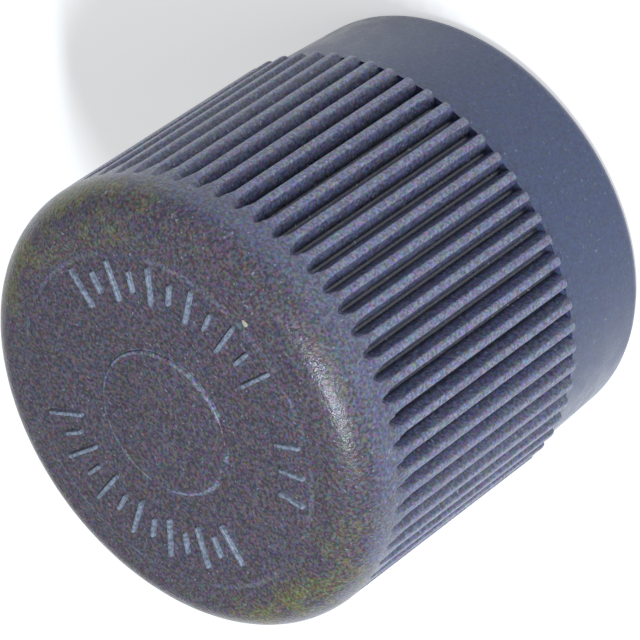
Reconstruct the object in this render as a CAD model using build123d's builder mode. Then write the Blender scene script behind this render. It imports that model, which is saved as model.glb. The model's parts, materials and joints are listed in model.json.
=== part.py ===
"""Threaded protection cap: one moulded piece that screws over an M18 threaded end.

The cap stands on its open rim. The origin is the centre of that rim, +Z runs along the
cap's axis to its closed end, and every size is in millimetres or degrees.
"""

import os
from math import radians, tan

from build123d import *

# Outside: overall sizes
crest_diameter = 24.0
cap_length = 23.0
corner_radius = 2.3

# Plain collar round the open end, drawn in a little towards the rim
collar_length = 6.1
collar_top_diameter = 23.4
collar_rim_diameter = 22.9
rim_round = 0.7

# Grip ribs: straight, side by side, from the collar to the band under the closed end
rib_count = 63
rib_depth = 0.72
rib_foot_width = 1.0
rib_tip_width = 0.36
rib_crown_height = 0.04
groove_length = 13.1
run_out_angle = 35.0

# Closed face: a thin round pad with a low central disc
pad_diameter = 18.0
pad_height = 0.08
disc_diameter = 7.8
disc_height = 0.16

# Inside: thread bore, seat and well
thread_diameter = 18.0
thread_depth = 15.0
lead_in = 0.6
well_diameter = 16.0
well_bevel = 0.8
end_wall = 2.4

# How far the ribs stay under the band's surface, and how deep their feet are buried
crest_set_back = 0.03
rib_root_bury = 0.3

# Worked out from the sizes above
crest_radius = crest_diameter / 2
floor_radius = crest_radius - rib_depth
shoulder_level = cap_length - pad_height
run_out_start = collar_length + groove_length
run_out_end = run_out_start + rib_depth / tan(radians(run_out_angle))
rib_tip_radius = crest_radius - crest_set_back
rib_shoulder_radius = rib_tip_radius - rib_crown_height
rib_base_radius = floor_radius - rib_root_bury
flank_slope = (rib_foot_width - rib_tip_width) / (rib_shoulder_radius - floor_radius)
rib_base_width = rib_foot_width + flank_slope * rib_root_bury

# Section of one rib, pointing along +X: straight flanks, a crowned tip and a buried base
with BuildSketch() as rib_section:
    with BuildLine():
        Polyline(
            (rib_shoulder_radius, rib_tip_width / 2),
            (rib_base_radius, rib_base_width / 2),
            (rib_base_radius, -rib_base_width / 2),
            (rib_shoulder_radius, -rib_tip_width / 2),
        )
        ThreePointArc(
            (rib_shoulder_radius, -rib_tip_width / 2),
            (rib_tip_radius, 0),
            (rib_shoulder_radius, rib_tip_width / 2),
        )
    make_face()

with BuildPart() as cap:
    # Core: the collar, the floor of the grooves, their run-out and the band above it
    with BuildSketch(Plane.XZ):
        with BuildLine():
            Polyline(
                (0, 0),
                (collar_rim_diameter / 2, 0),
                (collar_top_diameter / 2, collar_length),
                (floor_radius, collar_length),
                (floor_radius, run_out_start),
                (crest_radius, run_out_end),
                (crest_radius, shoulder_level),
                (0, shoulder_level),
                close=True,
            )
        make_face()
    revolve(axis=Axis.Z)
    fillet(cap.edges().group_by(Axis.Z)[-1], corner_radius)
    fillet(cap.edges().group_by(Axis.Z)[0], rim_round)

    # Ring of ribs, standing on the groove floor and dying into the band
    with BuildSketch(Plane.XY.offset(collar_length)):
        with PolarLocations(0, rib_count):
            add(rib_section.sketch)
    extrude(amount=run_out_end - collar_length)

    # Thin pad on the closed face, and the low disc at its centre
    with BuildSketch(Plane.XY.offset(shoulder_level)):
        Circle(pad_diameter / 2)
    extrude(amount=pad_height)
    with BuildSketch(Plane.XY.offset(cap_length)):
        Circle(disc_diameter / 2)
    extrude(amount=disc_height)

    # Thread bore down to its seat, and the narrower well beyond it
    with Locations(Plane(origin=(0, 0, 0), z_dir=(0, 0, -1))):
        CounterBoreHole(
            radius=well_diameter / 2,
            counter_bore_radius=thread_diameter / 2,
            counter_bore_depth=thread_depth,
            depth=cap_length - end_wall,
        )
    well_floor = cap.faces().filter_by(Axis.Z).filter_by_position(
        Axis.Z, cap_length - end_wall, cap_length - end_wall
    )
    chamfer(well_floor.edges(), well_bevel)
    mouth_edge = cap.edges().group_by(Axis.Z)[0].sort_by(SortBy.RADIUS)[0]
    chamfer(mouth_edge, lead_in)

cap.part.label = "cap"

os.makedirs("parts", exist_ok=True)
export_step(cap.part, "parts/cap.step")
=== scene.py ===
"""Threaded protection cap: the visual model, built round the cap's CAD frame.

The cap stands on its open rim with +Z up, so every height is measured from the rim and every
radius from the Z axis. Blender works in metres; sizes here are written in millimetres times MM.
"""

import json
from math import atan, atan2, cos, hypot, pi, radians, sin, sqrt, tan

import bmesh
import bpy
from bpy.props import FloatProperty, IntProperty, PointerProperty, StringProperty
from bpy.types import Operator, Panel, PropertyGroup
from mathutils import Matrix, Vector


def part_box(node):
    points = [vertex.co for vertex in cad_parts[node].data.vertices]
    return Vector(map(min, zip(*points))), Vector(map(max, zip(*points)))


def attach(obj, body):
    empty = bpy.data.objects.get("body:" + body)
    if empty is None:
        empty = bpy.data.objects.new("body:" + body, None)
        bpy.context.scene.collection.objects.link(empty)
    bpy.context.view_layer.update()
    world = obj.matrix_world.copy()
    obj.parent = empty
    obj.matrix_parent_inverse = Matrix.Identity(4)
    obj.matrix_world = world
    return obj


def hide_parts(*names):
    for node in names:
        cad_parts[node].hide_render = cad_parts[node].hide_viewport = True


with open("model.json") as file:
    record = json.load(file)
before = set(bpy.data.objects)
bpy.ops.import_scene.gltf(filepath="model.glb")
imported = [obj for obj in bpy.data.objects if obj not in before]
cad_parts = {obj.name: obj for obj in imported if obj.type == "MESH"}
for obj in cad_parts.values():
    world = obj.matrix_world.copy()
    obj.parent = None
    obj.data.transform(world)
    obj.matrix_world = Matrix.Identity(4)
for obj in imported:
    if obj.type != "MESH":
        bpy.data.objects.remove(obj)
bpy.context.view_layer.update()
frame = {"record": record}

bl_info = {
    "name": "Threaded Protection Cap",
    "version": (1, 0, 0),
    "blender": (4, 5, 0),
    "location": "View3D > Sidebar > Cap",
    "description": "Builds a moulded screw-on protection cap with its thread, its face marks and a stage",
    "category": "Add Mesh",
}

MM = 0.001
CAP_NODE = "cap"
BODY = "root"
ORIGIN = (0.0, 0.0, 0.0)
UP = (0.0, 0.0, 1.0)
NEAR = 0.002 * MM  # places closer than this are the same place
SAME_TURN = 1e-4  # and angles closer than this, in radians, the same angle

# What the frame says: the outer size, and the thread bore
CAP_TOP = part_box(CAP_NODE)[1].z
CREST_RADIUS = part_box(CAP_NODE)[1].x
THREAD_BORE = next(m for m in frame["record"]["mounts"] if m["name"] == "thread_bore")
BORE_RADIUS = THREAD_BORE["dims"]["r_mm"] * MM
BORE_LENGTH = THREAD_BORE["dims"]["length_mm"] * MM


# ---------------------------------------------------------------- settings


def length_setting(name, description, default):
    """A length in metres, shown with the scene's own unit."""
    return FloatProperty(name=name, description=description, default=default, min=0.0, precision=5,
                         subtype="DISTANCE", unit="LENGTH")


def angle_setting(name, description, default):
    """An angle, shown in degrees."""
    return FloatProperty(name=name, description=description, default=radians(default), subtype="ANGLE")


def colour_setting(name, description, default):
    """A colour as an sRGB hex value."""
    return StringProperty(name=name, description=description, default=default)


class CapShape(PropertyGroup):
    """Sizes of the moulded cap that the frame's box doesn't give."""

    corner_radius: length_setting("Corner radius", "Rounding of the closed end", 2.3 * MM)
    collar_length: length_setting("Collar length", "Height of the plain collar", 6.1 * MM)
    collar_top_radius: length_setting("Collar top radius", "Collar where it meets the ribs", 11.7 * MM)
    collar_rim_radius: length_setting("Collar rim radius", "Collar at the open rim", 11.45 * MM)
    rim_round: length_setting("Rim rounding", "Rounding of the open rim's outer edge", 0.7 * MM)
    pad_radius: length_setting("Pad radius", "Thin pad on the closed face", 9.0 * MM)
    pad_height: length_setting("Pad height", "How far the pad stands off the face", 0.08 * MM)
    pad_slope_out: length_setting("Pad slope, outer", "Foot of the pad's edge beyond its radius", 0.1 * MM)
    pad_slope_in: length_setting("Pad slope, inner", "Top of the pad's edge within its radius", 0.15 * MM)
    disc_radius: length_setting("Disc radius", "Low disc at the centre of the pad", 3.9 * MM)
    disc_height: length_setting("Disc height", "How far the disc stands off the pad", 0.16 * MM)
    disc_round: length_setting("Disc rounding", "Rounding of the disc's edge", 0.1 * MM)
    lead_in: length_setting("Lead-in", "Bevel at the mouth of the bore", 0.6 * MM)
    well_radius: length_setting("Well radius", "Bore beyond the seat", 8.0 * MM)
    well_bevel: length_setting("Well bevel", "Bevel round the well's floor", 0.8 * MM)
    end_wall: length_setting("End wall", "Thickness of the closed end", 2.4 * MM)


class RibShape(PropertyGroup):
    """Sizes of the grip ribs."""

    count: IntProperty(name="Ribs", description="Number of ribs round the cap", default=63, min=12)
    depth: length_setting("Rib depth", "From the crests to the groove floors", 0.72 * MM)
    foot_width: length_setting("Foot width", "Width of a rib at the groove floor", 1.0 * MM)
    tip_width: length_setting("Tip width", "Width across a rib's tip before rounding", 0.36 * MM)
    tip_round: length_setting("Tip rounding", "Rounding of a rib's two tip edges", 0.13 * MM)
    end_round: length_setting("End rounding", "Rounding of a rib's lower end", 0.2 * MM)
    groove_length: length_setting("Groove length", "Full-depth length of a groove", 13.1 * MM)
    run_out_length: length_setting("Run-out length", "Height over which a groove dies out", 1.35 * MM)


class ThreadShape(PropertyGroup):
    """Sizes of the internal thread ridge."""

    pitch: length_setting("Pitch", "Rise of the thread in one turn", 1.5 * MM)
    height: length_setting("Thread height", "From the bore wall in to the crest", 0.81 * MM)
    sink: length_setting("Sink", "How deep the ridge's foot is set into the wall", 0.02 * MM)
    flank_angle: angle_setting("Flank angle", "Between the ridge's two flanks", 60)
    turns: IntProperty(name="Turns", description="Full turns of the thread", default=8, min=1)
    start: length_setting("Thread start", "Height of the first turn's middle", 1.45 * MM)


class MarkShape(PropertyGroup):
    """Sizes of the raised strokes and of the fleck on the closed face."""

    width: length_setting("Stroke width", "Width of a raised stroke at its foot", 0.26 * MM)
    height: length_setting("Stroke height", "How far a stroke stands off the pad", 0.2 * MM)
    sink: length_setting("Sink", "How deep a stroke's foot is set into the pad", 0.03 * MM)
    edge: length_setting("Edge", "Bevel round a stroke's top", 0.04 * MM)
    top_share: FloatProperty(name="Top share", description="A stroke's top over its foot", default=0.72)
    fleck_radius: length_setting("Fleck radius", "Size of the dust fleck", 0.16 * MM)
    fleck_reach: length_setting("Fleck reach", "The fleck's distance from the axis", 9.35 * MM)
    fleck_turn: angle_setting("Fleck turn", "The fleck's angle from the front", 10)


class Finish(PropertyGroup):
    """Colours of the moulded plastic and of the fleck on it. The crest, groove, face and pale highlight
    colours are painted light and shade.
    """

    collar_colour: colour_setting("Collar colour", "Smooth blue-slate collar", "#414e72")
    rib_colour: colour_setting("Rib colour", "Sides of the ribs and the band above them", "#616480")
    # The crest colour is a painted highlight: the rib crests are painted paler where they catch the light.
    crest_highlight_colour: colour_setting("Crest colour", "Rib crests, worn paler by hands", "#8c90ae")
    # The groove colour is painted shade: the groove bottoms are painted dark where shade falls in them.
    groove_shade_colour: colour_setting("Groove colour", "Bottoms of the grooves", "#20222c")
    # The face colour is painted light: its browner tint stands in for warmer light falling on the closed
    # face.
    face_warm_light_colour: colour_setting("Face colour", "Closed face, browned by handling", "#665f6b")
    # The rubbed colour is a painted highlight: the raised marks and the edges of the disc and pad are
    # painted pale where they catch the light.
    pale_highlight_colour: colour_setting("Rubbed colour", "Raised marks, rubbed pale and smooth", "#a3afc2")
    stain_colour: colour_setting("Stain colour", "Olive stains on the corner", "#838252")
    speck_colour: colour_setting("Speck colour", "Pale filler grains at the surface", "#b4b9cc")
    fleck_colour: colour_setting("Fleck colour", "Pale fleck of dust", "#d8d2bd")


class StageShape(PropertyGroup):
    """Camera, lamps and floor."""

    view_turn: angle_setting("View turn", "Camera's turn round the cap", 3.6)
    view_height: angle_setting("View height", "Camera's angle above the floor", 39.72)
    view_roll: angle_setting("View roll", "Camera's roll about its own axis", -125.07)
    view_distance: length_setting("View distance", "Camera to the middle of the cap", 222.7 * MM)
    aim_right: length_setting("Aim right", "Camera's aim beside the cap's middle", 0.12 * MM)
    aim_down: length_setting("Aim down", "Camera's aim below the cap's middle", 0.18 * MM)
    lens: FloatProperty(name="Lens", description="Focal length in millimetres", default=253.4)
    lamp_distance: length_setting("Lamp distance", "Lamps to the middle of the cap", 500 * MM)
    key_strength: FloatProperty(name="Key", description="Strength of the broad lamp", default=0.45)
    glint_strength: FloatProperty(name="Glint", description="Strength of the narrow lamp", default=1.95)
    sky_strength: FloatProperty(name="Sky", description="Strength of the light from all round", default=0.23)
    paper_glow: FloatProperty(name="Paper glow", description="Lifts the floor to white, unlit", default=0.5)
    floor_radius: length_setting("Floor radius", "Round sheet of paper under the cap", 800 * MM)
    floor_colour: colour_setting("Floor colour", "Pale studio floor", "#f4f4f2")


# ---------------------------------------------------------------- small helpers


def linear(hex_colour):
    """An sRGB hex value as linear RGBA."""
    channels = [int(hex_colour[i : i + 2], 16) / 255 for i in (1, 3, 5)]
    return tuple(c / 12.92 if c <= 0.04045 else ((c + 0.055) / 1.055) ** 2.4 for c in channels) + (1.0,)


def arc(centre_radius, centre_height, radius, start, end, steps):
    """Points on an arc in the half-section, from start to end degrees, both ends included."""
    turns = [radians(start + (end - start) * i / steps) for i in range(steps + 1)]
    return [(centre_radius + radius * cos(t), centre_height + radius * sin(t)) for t in turns]


def turn_of(point):
    """The angle of a point about the Z axis."""
    return atan2(point.y, point.x)


def front_turn(scene):
    """The angle about the Z axis of the side that faces the camera."""
    return scene.cap_stage.view_turn - pi / 2


def choose(test):
    """Selects the vertices of the mesh in edit mode whose place passes the test."""
    bpy.ops.mesh.select_all(action="DESELECT")
    mesh = bpy.context.edit_object.data
    edit = bmesh.from_edit_mesh(mesh)
    for vertex in edit.verts:
        if test(vertex.co):
            vertex.select_set(True)
    edit.select_flush(True)
    bmesh.update_edit_mesh(mesh)


def spin_copies(steps, turn, keep_apart):
    """Spins the selection about Z; the operator's own angle runs clockwise, so it is given turned round."""
    bpy.ops.mesh.spin(steps=steps, angle=-turn, dupli=keep_apart, center=ORIGIN, axis=UP)


def start_piece(name, add, **sizes):
    """Adds a primitive with nothing else selected, names it and leaves it in edit mode, all selected."""
    bpy.ops.object.select_all(action="DESELECT")
    add(location=ORIGIN, **sizes)
    piece = bpy.context.object
    piece.name = name
    piece.data.name = name
    bpy.ops.object.mode_set(mode="EDIT")
    bpy.ops.mesh.select_mode(type="VERT")
    bpy.ops.mesh.select_all(action="SELECT")
    return piece


def finish_piece(piece, material, sharp_above):
    """Leaves edit mode, smooths all but the sharp edges, and ties the piece to the cap's body."""
    if bpy.context.mode != "OBJECT":
        bpy.ops.object.mode_set(mode="OBJECT")
    bpy.ops.object.select_all(action="DESELECT")
    piece.select_set(True)
    bpy.context.view_layer.objects.active = piece
    bpy.ops.object.shade_smooth_by_angle(angle=radians(sharp_above))
    piece.data.materials.clear()
    piece.data.materials.append(material)
    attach(piece, BODY)


def draw_wire(points):
    """Shrinks the selected primitive to one vertex and extrudes it along points (radius, height)."""
    bpy.ops.mesh.merge(type="CENTER")
    here = (0.0, 0.0)
    for number, (radius, height) in enumerate(points):
        step = (radius - here[0], 0.0, height - here[1])
        if number == 0:
            bpy.ops.transform.translate(value=step)
        else:
            bpy.ops.mesh.extrude_vertices_move(TRANSFORM_OT_translate={"value": step})
        here = (radius, height)


# ---------------------------------------------------------------- materials


def add_node(tree, kind, inputs=None, **settings):
    """Adds a node with its settings; each input is given a value, or is linked if given a socket."""
    made = tree.nodes.new(kind)
    for name, value in settings.items():
        setattr(made, name, value)
    for key, value in (inputs or {}).items():
        if isinstance(value, bpy.types.NodeSocket):
            tree.links.new(value, made.inputs[key])
        else:
            made.inputs[key].default_value = value
    return made


def new_material(name):
    """An empty node material with its shader and output in place."""
    material = bpy.data.materials.new(name)
    material.use_nodes = True
    tree = material.node_tree
    tree.nodes.clear()
    shader = tree.nodes.new("ShaderNodeBsdfPrincipled")
    add_node(tree, "ShaderNodeOutputMaterial", {"Surface": shader.outputs["BSDF"]})
    return material, tree, shader


POLYAMIDE_IOR = 1.53

# Noise in the moulded polyamide: its size in millimetres, detail and roughness. Eroded grain and filler
# are usually finer than this, and are drawn this coarse so that they show.
POLYAMIDE_NOISE = {
    "clouds": (2.2, 4.0, 0.65),
    # patches where the raised edges are painted pale as highlights
    "highlight_patches": (1.6, 2.0, 0.5),
    "polish": (1.1, 2.0, 0.5),
    "tints": (0.22, 2.0, 0.6),
    "pits": (0.2, 3.0, 0.6),
    "specks": (0.17, 0.0, 0.5),
    "shades": (0.15, 1.0, 0.5),
}


def polyamide_measures(tree, place):
    """What the zones go by: height, distance out from the axis, nearness to +X or -X, and noise."""
    parts = add_node(tree, "ShaderNodeSeparateXYZ", {"Vector": place})
    level = add_node(tree, "ShaderNodeVectorMath", {0: place, 1: (1.0, 1.0, 0.0)}, operation="MULTIPLY")
    out = add_node(tree, "ShaderNodeVectorMath", {0: level.outputs["Vector"]}, operation="LENGTH")
    across = {0: parts.outputs["X"], 1: out.outputs["Value"]}
    side = add_node(tree, "ShaderNodeMath", across, operation="DIVIDE")
    side = add_node(tree, "ShaderNodeMath", {0: side.outputs[0]}, operation="ABSOLUTE")
    measures = {"height": parts.outputs["Z"], "out": out.outputs["Value"], "side": side.outputs[0]}
    for name, (size, detail, roughness) in POLYAMIDE_NOISE.items():
        inputs = {"Vector": place, "Scale": 1 / (size * MM), "Detail": detail, "Roughness": roughness}
        measures[name] = add_node(tree, "ShaderNodeTexNoise", inputs).outputs["Fac"]
    return measures


def polyamide_zones(shape, rib):
    """The zones of the finish, each a list of soft steps whose values are multiplied.

    A step is a measure, where it starts and ends, and its value before and after.
    """
    collar = shape.collar_length
    run_out = collar + rib.groove_length
    groove_floor = CREST_RADIUS - rib.depth
    face = CAP_TOP - shape.disc_height
    well_top = face - shape.end_wall
    pad, disc = shape.pad_radius, shape.disc_radius
    among_ribs = [
        ("height", collar, collar + 0.05 * MM, 0.0, 1.0),
        ("height", run_out - 0.3 * MM, run_out + 1.1 * MM, 1.0, 0.0),
    ]
    # Painted highlights: the edges of the disc and pad are painted pale, in patches.
    edge_highlight_patches = [
        ("height", face - 0.3 * MM, face - 0.2 * MM, 0.0, 1.0),
        ("highlight_patches", 0.38, 0.55, 0.0, 1.0),
    ]
    # The collar is moulded smoother than the rest, so its speckle is weaker
    skin = [("height", collar - 1.1 * MM, collar + 0.9 * MM, 0.45, 1.0)]
    return {
        "ribs": [("height", collar - 0.1 * MM, collar + 0.1 * MM, 0.0, 1.0)],
        # Painted highlight: the rib crests are painted paler.
        "crests": among_ribs + [("out", CREST_RADIUS - 0.14 * MM, CREST_RADIUS - 0.02 * MM, 0.0, 0.55)],
        # Painted shade: the groove bottoms are painted dark.
        "grooves": among_ribs + [("out", groove_floor + 0.02 * MM, groove_floor + 0.34 * MM, 0.8, 0.0)],
        # Painted warm light: the closed face is tinted browner.
        "face": [("height", face - 2.1 * MM, face - 0.7 * MM, 0.0, 1.0)],
        "stains": [
            ("height", face - 3.0 * MM, face - 1.6 * MM, 0.0, 1.0),
            ("out", pad - 0.2 * MM, pad + 1.6 * MM, 0.0, 1.0),
            ("side", 0.7, 0.98, 0.15, 1.0),
            ("clouds", 0.4, 0.62, 0.0, 0.75),
        ],
        # Painted highlight on the disc's edge
        "disc_edge_highlight": edge_highlight_patches + [
            ("out", disc - 0.2 * MM, disc - 0.1 * MM, 0.0, 1.0),
            ("out", disc, disc + 0.1 * MM, 0.6, 0.0),
        ],
        # Painted highlight on the pad's edge
        "pad_edge": edge_highlight_patches + [
            ("out", pad - 0.2 * MM, pad - 0.1 * MM, 0.0, 1.0),
            ("out", pad, pad + 0.15 * MM, 0.2, 0.0),
        ],
        "skin": skin,
        "shades": [("shades", 0.3, 0.7, 0.6, 1.4)],
        "specks": skin + [("specks", 0.76, 0.82, 0.0, 0.6)],
        "inside": [
            ("out", BORE_RADIUS + 0.4 * MM, BORE_RADIUS + 1.0 * MM, 1.0, 0.0),
            ("height", well_top + 0.3 * MM, well_top + 0.7 * MM, 1.0, 0.0),
        ],
        "pit_depth": [("height", collar - 1.1 * MM, face - 1.0 * MM, 0.35, 1.0)],
        "roughness": [("polish", 0.35, 0.65, 0.24, 0.32)],
    }


def zone_values(tree, measures, zones):
    """The value of each zone at every place: its soft steps, multiplied together."""
    values = {}
    for name, steps in zones.items():
        value = 1.0
        for measure, start, end, before, after in steps:
            inputs = {"Value": measures[measure], "From Min": start, "From Max": end, "To Min": before}
            inputs["To Max"] = after
            step = add_node(tree, "ShaderNodeMapRange", inputs, interpolation_type="SMOOTHSTEP")
            both = {0: value, 1: step.outputs["Result"]}
            value = add_node(tree, "ShaderNodeMath", both, operation="MULTIPLY").outputs[0]
        values[name] = value
    return values


def moulded_polyamide(name, scene):
    """Polyamide moulded in a spark-eroded tool.

    The eye sees a dull slate grey with a fine even grain that breaks up the highlights, and faint olive
    staining on the corner. Light and shade are painted in too: the closed face is tinted browner as
    painted warm light, the rib crests are painted paler as a highlight, the groove bottoms are painted
    dark as shade, and the edges of the disc and pad are painted pale in patches as highlights.
    """
    finish = scene.cap_finish
    material, tree, shader = new_material(name)
    place = add_node(tree, "ShaderNodeTexCoord").outputs["Object"]
    measures = polyamide_measures(tree, place)
    zones = zone_values(tree, measures, polyamide_zones(scene.cap_shape, scene.cap_ribs))

    # Filler and pigment show as grains of many tints; sockets 7 to 10 are the ranges of a vector
    tint_inputs = {"Vector": measures["tints"].node.outputs["Color"]}
    for socket, limit in ((7, 0.32), (8, 0.68), (9, 0.62), (10, 1.38)):
        tint_inputs[socket] = (limit, limit, limit)
    tints = add_node(tree, "ShaderNodeMapRange", tint_inputs, data_type="FLOAT_VECTOR", clamp=True)

    # Colour, from the collar's own: each layer is where it lies, what it lays down, and how
    layers = (
        ("ribs", linear(finish.rib_colour), "MIX"),
        # Painted highlight on the rib crests
        ("crests", linear(finish.crest_highlight_colour), "MIX"),
        # Painted shade in the grooves
        ("grooves", linear(finish.groove_shade_colour), "MIX"),
        # Painted warm light on the closed face
        ("face", linear(finish.face_warm_light_colour), "MIX"),
        ("stains", linear(finish.stain_colour), "MIX"),
        # Painted highlights on the edges of the disc and pad
        ("disc_edge_highlight", linear(finish.pale_highlight_colour), "MIX"),
        ("pad_edge", linear(finish.pale_highlight_colour), "MIX"),
        ("skin", tints.outputs["Vector"], "MULTIPLY"),
        ("skin", zones["shades"], "MULTIPLY"),
        ("specks", linear(finish.speck_colour), "MIX"),
        ("inside", linear(finish.collar_colour), "MIX"),
    )
    colour = linear(finish.collar_colour)
    for zone, laid, blend in layers:
        inputs = {0: zones[zone], 6: colour, 7: laid}
        colour = add_node(tree, "ShaderNodeMix", inputs, data_type="RGBA", blend_type=blend).outputs[2]

    # Texture: fine pits on every moulded surface, deeper on the closed end than on the collar
    bump_inputs = {"Strength": zones["pit_depth"], "Distance": 0.035 * MM, "Height": measures["pits"]}
    normal = add_node(tree, "ShaderNodeBump", bump_inputs).outputs["Normal"]
    tree.links.new(colour, shader.inputs["Base Color"])
    tree.links.new(zones["roughness"], shader.inputs["Roughness"])
    tree.links.new(normal, shader.inputs["Normal"])
    shader.inputs["IOR"].default_value = POLYAMIDE_IOR
    return material


def highlit_polyamide(name, scene):
    """The same polyamide on raised marks: smooth, with no pits, and painted pale in patches as a highlight.
    """
    material, tree, shader = new_material(name)
    place = add_node(tree, "ShaderNodeTexCoord").outputs["Object"]
    grain = add_node(tree, "ShaderNodeTexNoise", {"Vector": place, "Scale": 1 / (0.2 * MM), "Detail": 2.0})
    pale = linear(scene.cap_finish.pale_highlight_colour)
    ramp = add_node(tree, "ShaderNodeValToRGB", {"Fac": grain.outputs["Fac"]})
    ramp.color_ramp.elements[0].position = 0.35
    ramp.color_ramp.elements[0].color = tuple(c * 0.45 for c in pale[:3]) + (1.0,)
    ramp.color_ramp.elements[1].position = 0.6
    ramp.color_ramp.elements[1].color = pale
    tree.links.new(ramp.outputs["Color"], shader.inputs["Base Color"])
    shader.inputs["Roughness"].default_value = 0.3
    shader.inputs["IOR"].default_value = POLYAMIDE_IOR
    return material


def settled_dust(name, scene):
    """A dry mineral fleck: pale, matt and opaque."""
    material, tree, shader = new_material(name)
    place = add_node(tree, "ShaderNodeTexCoord").outputs["Object"]
    tone = add_node(tree, "ShaderNodeTexNoise", {"Vector": place, "Scale": 1 / (0.1 * MM)})
    pale = linear(scene.cap_finish.fleck_colour)
    darker = tuple(c * 0.8 for c in pale[:3]) + (1.0,)
    ramp = add_node(tree, "ShaderNodeValToRGB", {"Fac": tone.outputs["Fac"]})
    ramp.color_ramp.elements[0].color = darker
    ramp.color_ramp.elements[1].color = pale
    tree.links.new(ramp.outputs["Color"], shader.inputs["Base Color"])
    shader.inputs["Roughness"].default_value = 0.9
    return material


def studio_paper(name, scene):
    """Seamless matt paper: pale, and white to the camera except where the cap shades it."""
    stage = scene.cap_stage
    material, tree, shader = new_material(name)
    ray = add_node(tree, "ShaderNodeLightPath").outputs
    seen = ray["Is Camera Ray"]
    for other in (ray["Is Glossy Ray"], ray["Is Transmission Ray"]):
        seen = add_node(tree, "ShaderNodeMath", {0: seen, 1: other}, operation="MAXIMUM").outputs[0]
    glow = add_node(tree, "ShaderNodeMath", {0: seen, 1: stage.paper_glow}, operation="MULTIPLY")
    shader.inputs["Base Color"].default_value = linear(stage.floor_colour)
    shader.inputs["Roughness"].default_value = 0.9
    shader.inputs["Emission Color"].default_value = (1.0, 1.0, 1.0, 1.0)
    tree.links.new(glow.outputs[0], shader.inputs["Emission Strength"])
    return material


def shared_material(name, make):
    """The material of that name, made the first time that it is asked for."""
    return bpy.data.materials.get(name) or make(name, bpy.context.scene)


# ---------------------------------------------------------------- the cap's body


def rib_columns(shape, rib):
    """Places across half a pitch, from a rib's crest to the middle of the groove beside it.

    Each is (angle about Z, radius). One of them lies at the collar's radius, so that the step
    from the ribs to the collar has an edge of its own.
    """
    floor = CREST_RADIUS - rib.depth
    lean = atan((rib.foot_width - rib.tip_width) / 2 / rib.depth)
    turn = pi / 2 - lean
    cut = rib.tip_round * tan(turn / 2)
    flat = rib.tip_width / 2 - cut
    steps = 3
    points = [(0.0, CREST_RADIUS)]
    for i in range(steps + 1):
        t = turn * i / steps
        points.append((flat + rib.tip_round * sin(t), CREST_RADIUS - rib.tip_round * (1 - cos(t))))
    for radius in (shape.collar_top_radius, floor):
        points.append((rib.tip_width / 2 + (CREST_RADIUS - radius) * tan(lean), radius))
    places = [(u / radius, radius) for u, radius in points]
    return places + [(pi / rib.count, floor)]


def half_section(shape, rib):
    """The cap's wall as one line, from the middle of the well's floor round to the middle of the disc."""
    face = CAP_TOP - shape.disc_height
    shoulder = face - shape.pad_height
    well_top = face - shape.end_wall
    seat = shape.lead_in + BORE_LENGTH
    run_out = shape.collar_length + rib.groove_length
    rim_centre = shape.collar_rim_radius - shape.rim_round
    corner_centre = CREST_RADIUS - shape.corner_radius
    inside = [
        (0.0, well_top),
        (shape.well_radius - shape.well_bevel, well_top),
        (shape.well_radius, well_top - shape.well_bevel),
        (shape.well_radius, seat),
        (BORE_RADIUS, seat),
        (BORE_RADIUS, shape.lead_in),
        (BORE_RADIUS + shape.lead_in, 0.0),
    ]
    rim = arc(rim_centre, shape.rim_round, shape.rim_round, -90, 0, 6)
    ledge = [(shape.collar_top_radius, shape.collar_length)]
    ends = [(CREST_RADIUS, shape.collar_length + h) for h in lower_end_heights(rib)]
    grooves = [(CREST_RADIUS, run_out + h) for h in run_out_heights(rib)]
    corner = arc(corner_centre, shoulder - shape.corner_radius, shape.corner_radius, 0, 90, 12)
    pad_edge = [
        (shape.pad_radius + shape.pad_slope_out, shoulder),
        (shape.pad_radius - shape.pad_slope_in, face),
    ]
    round_centre = (shape.disc_radius - shape.disc_round, CAP_TOP - shape.disc_round)
    disc = arc(*round_centre, shape.disc_round, 0, 90, 3)
    disc_foot = [(shape.disc_radius, face)]
    outside = rim + ledge + ends + grooves + corner + pad_edge + disc_foot + disc
    return inside + outside + [(0.0, CAP_TOP)]


def lower_end_heights(rib):
    """Heights above the collar of the rings that round the ribs' lower ends."""
    return [rib.end_round * part for part in (0.0, 0.12, 0.4, 1.0)]


def run_out_heights(rib):
    """Heights above the groove's full-depth part of the rings on which it dies out."""
    steps = 7
    return [rib.run_out_length * i / steps for i in range(steps + 1)]


def end_inset(rib, above):
    """How far a rib's lower end is drawn in at a height above the collar."""
    left = max(0.0, rib.end_round - above)
    return rib.end_round - sqrt(rib.end_round**2 - left**2)


def run_out_rise(rib, above):
    """How far the groove has lifted at a height above its full-depth part: slow, quick, slow."""
    part = above / rib.run_out_length
    return rib.depth * part**2 * (3 - 2 * part)


def shape_ribs(shape, rib, columns):
    """Presses each column of one pitch in from the crest radius to the rib's own section."""
    pitch = 2 * pi / rib.count
    rings = [(shape.collar_length + h, end_inset(rib, h), 0.0) for h in lower_end_heights(rib)]
    run_out = shape.collar_length + rib.groove_length
    rings += [(run_out + h, 0.0, run_out_rise(rib, h)) for h in run_out_heights(rib)]
    for ring, inset, rise in rings:
        for angle, radius in columns:
            if radius > shape.collar_top_radius + NEAR:
                wanted = max(radius - inset, shape.collar_top_radius)
            else:
                wanted = radius
            press = min(wanted + rise, CREST_RADIUS) / CREST_RADIUS

            def on_both_flanks(point):
                turned = turn_of(point)
                in_column = min(abs(turned - angle), abs(pitch - turned - angle)) < SAME_TURN
                on_ring = abs(point.z - ring) < NEAR and hypot(point.x, point.y) > CREST_RADIUS - NEAR
                return in_column and on_ring

            choose(on_both_flanks)
            bpy.ops.transform.resize(value=(press, press, 1.0), center_override=ORIGIN)


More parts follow.
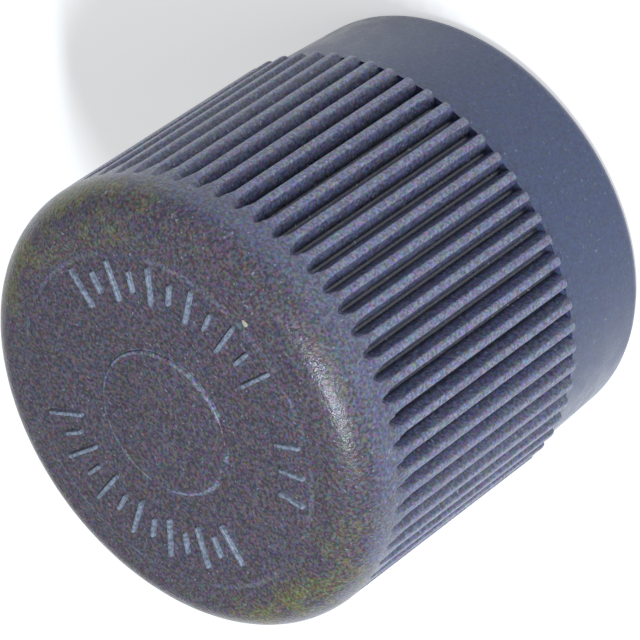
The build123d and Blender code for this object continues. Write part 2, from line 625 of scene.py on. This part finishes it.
def sweep_pitch(columns, pitch):
    """Spins the wall's line over one pitch, from a crest across the groove to the next crest."""
    angles = [angle for angle, radius in columns]
    angles += [pitch - angle for angle in reversed(angles[:-1])]
    for last, angle in zip(angles, angles[1:]):
        choose(lambda point: hypot(point.x, point.y) < NEAR or abs(turn_of(point) - last) < SAME_TURN)
        spin_copies(1, angle - last, keep_apart=False)
        bpy.ops.mesh.select_all(action="SELECT")
        bpy.ops.mesh.remove_doubles(threshold=NEAR / 4)


class CAP_OT_body(Operator):
    """Model the moulded cap: one pitch is spun, its groove pressed in, and the pitch is copied round"""

    bl_idname = "cap.body"
    bl_label = "Moulded Cap"

    def execute(self, context):
        shape, rib = context.scene.cap_shape, context.scene.cap_ribs
        pitch = 2 * pi / rib.count
        columns = rib_columns(shape, rib)
        body = start_piece("cap_body", bpy.ops.mesh.primitive_plane_add, size=MM)
        draw_wire(half_section(shape, rib))
        sweep_pitch(columns, pitch)
        shape_ribs(shape, rib, columns)

        # The finished pitch, copied all the way round and welded to itself
        bpy.ops.mesh.select_all(action="SELECT")
        spin_copies(rib.count - 1, 2 * pi - pitch, keep_apart=True)
        bpy.ops.mesh.select_all(action="SELECT")
        bpy.ops.mesh.remove_doubles(threshold=NEAR)
        bpy.ops.mesh.normals_make_consistent(inside=False)
        finish_piece(body, shared_material("polyamide_spark_eroded", moulded_polyamide), sharp_above=38)
        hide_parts(CAP_NODE)
        return {"FINISHED"}


# ---------------------------------------------------------------- the thread


class CAP_OT_thread(Operator):
    """Model the internal thread: a ridge swept along a helix that fades out at both ends"""

    bl_idname = "cap.thread"
    bl_label = "Internal Thread"

    def execute(self, context):
        thread = context.scene.cap_thread
        crest, foot = BORE_RADIUS - thread.height, BORE_RADIUS + thread.sink
        crest_half = thread.pitch / 16
        flank = (foot - crest) * tan(thread.flank_angle / 2)
        section = [(foot, -crest_half - flank), (crest, -crest_half)]
        section += [(radius, -along) for radius, along in reversed(section)]
        ridge = start_piece("thread_ridge", bpy.ops.mesh.primitive_plane_add, size=MM)
        draw_wire([(radius, thread.start + along) for radius, along in section])
        choose(lambda point: point.x > BORE_RADIUS)
        bpy.ops.mesh.edge_face_add()
        bpy.ops.object.mode_set(mode="OBJECT")

        steps = 72
        helix = ridge.modifiers.new("helix", "SCREW")
        helix.axis = "Z"
        helix.angle = 2 * pi
        helix.screw_offset = thread.pitch
        helix.iterations = thread.turns
        helix.steps = helix.render_steps = steps
        bpy.ops.object.modifier_apply(modifier=helix.name)

        # The crest sinks almost into the wall over a third of a turn at each end, and the ends are closed
        bpy.ops.object.mode_set(mode="EDIT")
        fade_steps = steps // 3
        for step in range(fade_steps):
            left = max(0.03, step / fade_steps)
            press = (foot - (foot - crest) * left) / crest
            for number in (step, steps * thread.turns - step):
                middle = thread.start + thread.pitch * number / steps
                turned = 2 * pi * (number % steps) / steps

                def on_crest(point):
                    apart = abs((turn_of(point) - turned + pi) % (2 * pi) - pi)
                    level = abs(point.z - middle) < crest_half + NEAR
                    return level and apart < SAME_TURN and hypot(point.x, point.y) < crest + NEAR

                choose(on_crest)
                bpy.ops.transform.resize(value=(press, press, 1.0), center_override=ORIGIN)
        within_turn = thread.pitch / 2.2
        for end in (thread.start, thread.start + thread.pitch * thread.turns):
            choose(lambda point: abs(point.z - end) < within_turn and abs(turn_of(point)) < SAME_TURN)
            bpy.ops.mesh.edge_face_add()
        bpy.ops.mesh.select_all(action="SELECT")
        bpy.ops.mesh.normals_make_consistent(inside=False)
        finish_piece(ridge, shared_material("polyamide_spark_eroded", moulded_polyamide), sharp_above=40)
        return {"FINISHED"}


# ---------------------------------------------------------------- marks and fleck on the closed face


# Rows of strokes: count, inner and outer radius in millimetres, and first and last angle from the
# front in degrees
MARK_ROWS = {
    "marks_upper_long": (6, 6.5, 8.7, 84, -6),
    "marks_upper_short": (5, 7.0, 8.2, 75, 3),
    "marks_lower_long": (7, 5.6, 7.9, 152, 260),
    "marks_lower_short": (6, 6.1, 7.3, 161, 251),
    "marks_side": (3, 7.1, 8.7, -32, -54),
}


def mark_row(name, scene, count, inner, outer, first, last):
    """A row of raised radial strokes between two radii, spaced evenly from one angle to another."""
    marks = scene.cap_marks
    face = CAP_TOP - scene.cap_shape.disc_height
    row = start_piece(name, bpy.ops.mesh.primitive_cylinder_add, vertices=20, radius=marks.width / 2,
                      depth=marks.height + marks.sink)
    bpy.ops.transform.translate(value=(0, 0, face + (marks.height - marks.sink) / 2))
    choose(lambda point: point.z > face)
    bpy.ops.transform.resize(value=(marks.top_share, marks.top_share, 1.0), center_override=ORIGIN)
    bpy.ops.mesh.bevel(offset=marks.edge, segments=2, affect="EDGES")

    # The round stud is drawn out to a stroke: half of it goes out, and then the whole is moved into place
    choose(lambda point: point.x > NEAR)
    bpy.ops.transform.translate(value=(outer - inner - marks.width, 0, 0))
    bpy.ops.mesh.select_all(action="SELECT")
    bpy.ops.transform.translate(value=(inner + marks.width / 2, 0, 0))
    bpy.ops.mesh.normals_make_consistent(inside=False)
    bpy.ops.transform.rotate(value=-first, orient_axis="Z", center_override=ORIGIN)
    spin_copies(count - 1, last - first, keep_apart=True)
    # The strokes' pale colour is a painted highlight.
    finish_piece(row, shared_material("polyamide_painted_highlight", highlit_polyamide), sharp_above=40)


class CAP_OT_face_marks(Operator):
    """Model the raised marks on the closed face: plain graduation strokes in two arcs and a short row"""

    bl_idname = "cap.face_marks"
    bl_label = "Face Marks"

    def execute(self, context):
        front = front_turn(context.scene)
        for name, (count, inner, outer, first, last) in MARK_ROWS.items():
            turns = (front + radians(first), front + radians(last))
            mark_row(name, context.scene, count, inner * MM, outer * MM, *turns)
        return {"FINISHED"}


class CAP_OT_fleck(Operator):
    """Model the pale fleck of dust that clings beside the pad"""

    bl_idname = "cap.fleck"
    bl_label = "Dust Fleck"

    def execute(self, context):
        shape, marks = context.scene.cap_shape, context.scene.cap_marks
        turn = front_turn(context.scene) + marks.fleck_turn
        level = CAP_TOP - shape.disc_height - shape.pad_height + marks.sink
        fleck = start_piece("dust_fleck", bpy.ops.mesh.primitive_ico_sphere_add, subdivisions=3,
                            radius=marks.fleck_radius)
        # Drawn out on one side, then flattened
        choose(lambda point: point.x > 0)
        bpy.ops.transform.resize(value=(1.5, 0.8, 0.9), center_override=ORIGIN)
        bpy.ops.mesh.select_all(action="SELECT")
        bpy.ops.transform.resize(value=(1.0, 1.0, 0.5), center_override=ORIGIN)
        reach = marks.fleck_reach
        bpy.ops.transform.translate(value=(reach * cos(turn), reach * sin(turn), level))
        finish_piece(fleck, shared_material("dust_dry", settled_dust), sharp_above=60)
        return {"FINISHED"}


# ---------------------------------------------------------------- stage


def direction(turn, height):
    """The direction from the cap's middle to a place at an angle round it and above the floor."""
    return Vector((cos(turn) * cos(height), sin(turn) * cos(height), sin(height)))


def add_softbox(name, turn, height, distance, size, strength, colour):
    """A rectangular lamp at an angle round the cap and above the floor, turned to the cap's middle."""
    outward = direction(turn, height)
    lamp = bpy.data.lights.new(name, "AREA")
    lamp.shape = "RECTANGLE"
    lamp.size, lamp.size_y = size
    lamp.energy = strength * pi * distance**2
    lamp.color = colour
    holder = bpy.data.objects.new(name, lamp)
    holder.location = Vector((0, 0, CAP_TOP / 2)) + outward * distance
    holder.rotation_euler = outward.to_track_quat("Z", "Y").to_euler()
    bpy.context.scene.collection.objects.link(holder)


def add_camera(scene):
    """The camera: it looks down at the cap's middle and is rolled, so the cap lies across the picture."""
    stage, shape = scene.cap_stage, scene.cap_shape
    back = direction(front_turn(scene), stage.view_height)
    level_right = Vector(UP).cross(back).normalized()
    level_up = back.cross(level_right)
    right = level_right * cos(stage.view_roll) + level_up * sin(stage.view_roll)
    above = level_up * cos(stage.view_roll) - level_right * sin(stage.view_roll)
    shoulder = CAP_TOP - shape.disc_height - shape.pad_height
    aim = Vector((0, 0, shoulder / 2)) + right * stage.aim_right - above * stage.aim_down
    camera = bpy.data.objects.new("camera", bpy.data.cameras.new("camera"))
    camera.data.lens = stage.lens
    camera.data.sensor_width = 36.0
    camera.data.clip_start = 5 * MM
    axes = Matrix((right, above, back)).transposed()
    camera.matrix_world = Matrix.Translation(aim + back * stage.view_distance) @ axes.to_4x4()
    scene.collection.objects.link(camera)
    scene.camera = camera


def add_surroundings(scene):
    """A cool sky that lights the cap plainly and is nearly white where the camera sees it."""
    world = bpy.data.worlds.new("studio")
    scene.world = world
    world.use_nodes = True
    tree = world.node_tree
    tree.nodes.clear()
    ray = add_node(tree, "ShaderNodeLightPath").outputs
    rays = {0: ray["Is Camera Ray"], 1: ray["Is Transmission Ray"]}
    seen = add_node(tree, "ShaderNodeMath", rays, operation="MAXIMUM").outputs[0]
    levels = {"Value": seen, "To Min": scene.cap_stage.sky_strength, "To Max": 1.0}
    strength = add_node(tree, "ShaderNodeMapRange", levels).outputs["Result"]
    sky = add_node(tree, "ShaderNodeBackground", {"Color": (0.93, 0.96, 1.0, 1.0), "Strength": strength})
    add_node(tree, "ShaderNodeOutputWorld", {"Surface": sky.outputs["Background"]})


class CAP_OT_stage(Operator):
    """Set the stage: floor, soft lamps, camera and pale surroundings"""

    bl_idname = "cap.stage"
    bl_label = "Stage"

    def execute(self, context):
        scene, stage = context.scene, context.scene.cap_stage

        # The paper lies a hair below the rim, so that the two don't share a plane
        bpy.ops.object.select_all(action="DESELECT")
        bpy.ops.mesh.primitive_circle_add(vertices=96, radius=stage.floor_radius, fill_type="NGON",
                                          location=(0, 0, -5 * NEAR))
        floor = context.object
        floor.name = "floor"
        floor.data.materials.append(shared_material("paper_matt", studio_paper))

        front = front_turn(scene)
        add_softbox("key", turn=front - radians(25), height=radians(29), distance=stage.lamp_distance,
                    size=(200 * MM, 160 * MM), strength=stage.key_strength, colour=(1.0, 1.0, 1.0))
        add_softbox("glint", turn=front - radians(46), height=radians(56), distance=stage.lamp_distance,
                    size=(140 * MM, 20 * MM), strength=stage.glint_strength, colour=(0.82, 0.9, 1.0))
        add_surroundings(scene)
        add_camera(scene)
        scene.view_settings.view_transform = "Standard"
        return {"FINISHED"}


# ---------------------------------------------------------------- panel and run


class CAP_PT_panel(Panel):
    """Lists the cap's pieces, their sizes and the stage"""

    bl_idname = "CAP_PT_panel"
    bl_label = "Protection Cap"
    bl_space_type = "VIEW_3D"
    bl_region_type = "UI"
    bl_category = "Cap"

    def draw(self, context):
        for operator in BUILDERS:
            self.layout.operator(operator.bl_idname)
        for name in SETTINGS:
            box = self.layout.box()
            group = getattr(context.scene, name)
            for setting in group.bl_rna.properties:
                if not setting.is_readonly and setting.identifier != "name":
                    box.prop(group, setting.identifier)


SETTINGS = {
    "cap_shape": CapShape,
    "cap_ribs": RibShape,
    "cap_thread": ThreadShape,
    "cap_marks": MarkShape,
    "cap_finish": Finish,
    "cap_stage": StageShape,
}
BUILDERS = (CAP_OT_body, CAP_OT_thread, CAP_OT_face_marks, CAP_OT_fleck, CAP_OT_stage)


def register():
    for cls in (*SETTINGS.values(), *BUILDERS, CAP_PT_panel):
        bpy.utils.register_class(cls)
    for name, cls in SETTINGS.items():
        setattr(bpy.types.Scene, name, PointerProperty(type=cls))


def unregister():
    for name in SETTINGS:
        delattr(bpy.types.Scene, name)
    for cls in (CAP_PT_panel, *reversed(BUILDERS), *reversed(SETTINGS.values())):
        bpy.utils.unregister_class(cls)


def main():
    """Builds every piece and the stage."""
    register()
    bpy.ops.cap.body()
    bpy.ops.cap.thread()
    bpy.ops.cap.face_marks()
    bpy.ops.cap.fleck()
    bpy.ops.cap.stage()


if __name__ == "__main__":
    main()
